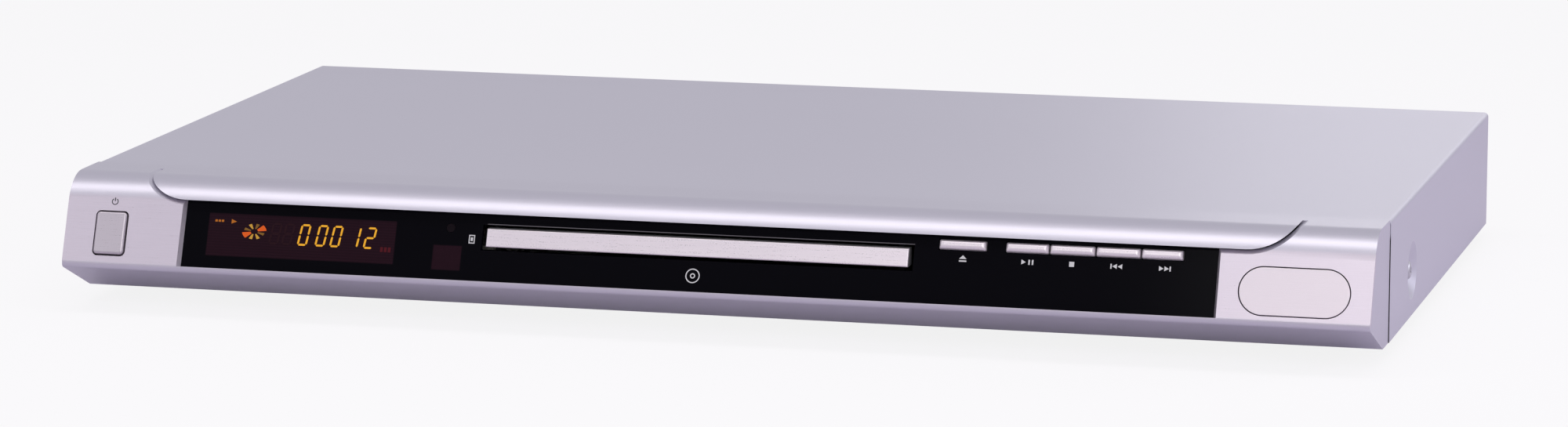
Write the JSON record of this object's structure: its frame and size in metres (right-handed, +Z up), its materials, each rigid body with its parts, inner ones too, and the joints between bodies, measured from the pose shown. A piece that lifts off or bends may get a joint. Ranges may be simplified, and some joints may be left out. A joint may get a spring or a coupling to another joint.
{
  "type": "disc player with tray",
  "caption": "Slim silver disc player with a motorised disc tray, a dark display window under a rolled brow, push keys and rear sockets.",
  "frame": {"origin": "middle of the base, on the surface the feet stand on, under the middle of the overall box", "axes": "+X to the right seen from the front, -Y out of the front, +Z up"},
  "size_m": [0.43, 0.2628, 0.0442],
  "materials": {
    "silver_moulding": "metallic silver paint, satin",
    "silver_cover": "metallic silver paint, satin",
    "black_panel": "polished black",
    "steel_sheet": "zinc plated",
    "screw_steel": "zinc plated",
    "foot_rubber": "matte",
    "tray_plastic": "fine texture",
    "gear_plastic": "natural",
    "cradle_steel": "plated",
    "bright_steel": "ground",
    "motor_can": "plated",
    "pickup_alloy": "cast",
    "lens_glass": "polished",
    "dark_plastic": "moulded",
    "circuit_board": "solder mask",
    "lamp_plastic": "clear red",
    "capacitor_sleeve": "shrink sleeve",
    "core_iron": "varnished",
    "heatsink_alloy": "extruded",
    "cable_sleeve": "flexible"
  },
  "bodies": {
    "body": {"front_bezel": "silver_moulding", "oval_badge_plate": "silver_moulding", "brow_trim": "silver_moulding", "top_cover": "silver_cover", "window_panel": "black_panel", "chassis_pan": "steel_sheet", "rear_panel": "steel_sheet", "clamp_bridge": "steel_sheet", "cover_screws": "screw_steel", "foot_screws": "screw_steel", "loader_screws": "screw_steel", "board_screws": "screw_steel", "foot_front_left": "foot_rubber", "foot_rear_left": "foot_rubber", "foot_front_right": "foot_rubber", "foot_rear_right": "foot_rubber", "drive_belt": "foot_rubber", "loader_frame": "tray_plastic", "loading_motor": "motor_can", "display_tube": "lens_glass", "infrared_receiver": "dark_plastic", "power_switch": "dark_plastic", "key_switches": "dark_plastic", "optical_socket": "dark_plastic", "power_inlet": "dark_plastic", "av_jacks": "dark_plastic", "main_board_chips": "dark_plastic", "main_board": "circuit_board", "supply_board": "circuit_board", "front_board": "circuit_board", "key_board": "circuit_board", "power_switch_board": "circuit_board", "standby_lamp": "lamp_plastic", "supply_capacitors": "capacitor_sleeve", "transformer": "core_iron", "heatsink": "heatsink_alloy", "power_harness": "cable_sleeve", "key_cable": "cable_sleeve"},
    "tray": {"disc_tray": "tray_plastic", "tray_fascia": "silver_moulding"},
    "drive_gear": {"tray_drive_gear": "gear_plastic"},
    "belt_gear": {"pulley_gear": "gear_plastic"},
    "motor_wheel": {"motor_pulley": "gear_plastic"},
    "cradle": {"traverse_cradle": "cradle_steel", "spindle_motor": "motor_can", "guide_rods": "bright_steel", "sled_motor": "motor_can"},
    "spindle": {"turntable": "dark_plastic"},
    "sled": {"pickup_sled": "pickup_alloy", "pickup_lens": "lens_glass"},
    "sled_screw": {"lead_screw": "bright_steel"},
    "cam": {"cam_slider": "tray_plastic"},
    "clamper": {"clamper_puck": "dark_plastic"},
    "power_key": {"power_button": "silver_moulding"},
    "open_close_key": {"open_close_button": "silver_moulding"},
    "play_key": {"play_button": "silver_moulding"},
    "stop_key": {"stop_button": "silver_moulding"},
    "skip_back_key": {"skip_back_button": "silver_moulding"},
    "skip_forward_key": {"skip_forward_button": "silver_moulding"}
  },
  "joints": [
    {"name": "tray_slide", "type": "slide", "parent": "body", "child": "tray", "axis": [0, -1, 0], "range_m": [0, 0.14]},
    {"name": "drive_gear_spin", "type": "hinge", "parent": "body", "child": "drive_gear", "pos_m": [-0.0762, -0.09599, 0.0233], "axis": [0, 0, 1], "range_deg": [-1006, 3]},
    {"name": "belt_gear_spin", "type": "hinge", "parent": "body", "child": "belt_gear", "pos_m": [-0.0554, -0.09599, 0.0233], "axis": [0, 0, 1], "range_deg": [-3, 3345]},
    {"name": "motor_spin", "type": "hinge", "parent": "body", "child": "motor_wheel", "pos_m": [-0.0244, -0.09599, 0.021], "axis": [0, 0, 1], "range_deg": [-3, 12258]},
    {"name": "cradle_lift", "type": "hinge", "parent": "body", "child": "cradle", "pos_m": [-0.0022, 0.04301, 0.017], "axis": [-1, 0, 0], "range_deg": [0, 3.38]},
    {"name": "cam_slide", "type": "slide", "parent": "body", "child": "cam", "axis": [1, 0, 0], "range_m": [-0.0002, 0.0102]},
    {"name": "spindle_spin", "type": "hinge", "parent": "cradle", "child": "spindle", "pos_m": [-0.0022, -0.0525, 0.02278], "axis": [0, -0.059, 0.9983], "continuous": true},
    {"name": "sled_slide", "type": "slide", "parent": "cradle", "child": "sled", "axis": [0, 0.9983, 0.059], "range_m": [0, 0.034]},
    {"name": "sled_screw_spin", "type": "hinge", "parent": "cradle", "child": "sled_screw", "pos_m": [0.0118, -0.03908, 0.01616], "axis": [0, 0.9983, 0.059], "range_deg": [-3, 4083]},
    {"name": "clamper_spin", "type": "hinge", "parent": "body", "child": "clamper", "pos_m": [-0.0022, -0.05199, 0.0329], "axis": [0, 0, 1], "continuous": true},
    {"name": "power_press", "type": "slide", "parent": "body", "child": "power_key", "axis": [0, 0.93, -0.3675], "range_m": [0, 0.0015], "stiffness_N_per_m": 400},
    {"name": "open_close_press", "type": "slide", "parent": "body", "child": "open_close_key", "axis": [0, 0.93, -0.3675], "range_m": [0, 0.0008], "stiffness_N_per_m": 500},
    {"name": "play_press", "type": "slide", "parent": "body", "child": "play_key", "axis": [0, 0.93, -0.3675], "range_m": [0, 0.0008], "stiffness_N_per_m": 500},
    {"name": "stop_press", "type": "slide", "parent": "body", "child": "stop_key", "axis": [0, 0.93, -0.3675], "range_m": [0, 0.0008], "stiffness_N_per_m": 500},
    {"name": "skip_back_press", "type": "slide", "parent": "body", "child": "skip_back_key", "axis": [0, 0.93, -0.3675], "range_m": [0, 0.0008], "stiffness_N_per_m": 500},
    {"name": "skip_forward_press", "type": "slide", "parent": "body", "child": "skip_forward_key", "axis": [0, 0.93, -0.3675], "range_m": [0, 0.0008], "stiffness_N_per_m": 500}
  ],
  "couplings": [
    {"joint": "drive_gear_spin", "follows": "tray_slide", "rad_per_m": -125},
    {"joint": "belt_gear_spin", "follows": "tray_slide", "rad_per_m": 416.67},
    {"joint": "motor_spin", "follows": "tray_slide", "rad_per_m": 1527.8},
    {"joint": "cam_slide", "follows": "cradle_lift", "m_per_rad": 0.16951},
    {"joint": "sled_screw_spin", "follows": "sled_slide", "rad_per_m": 2094.4}
  ]
}
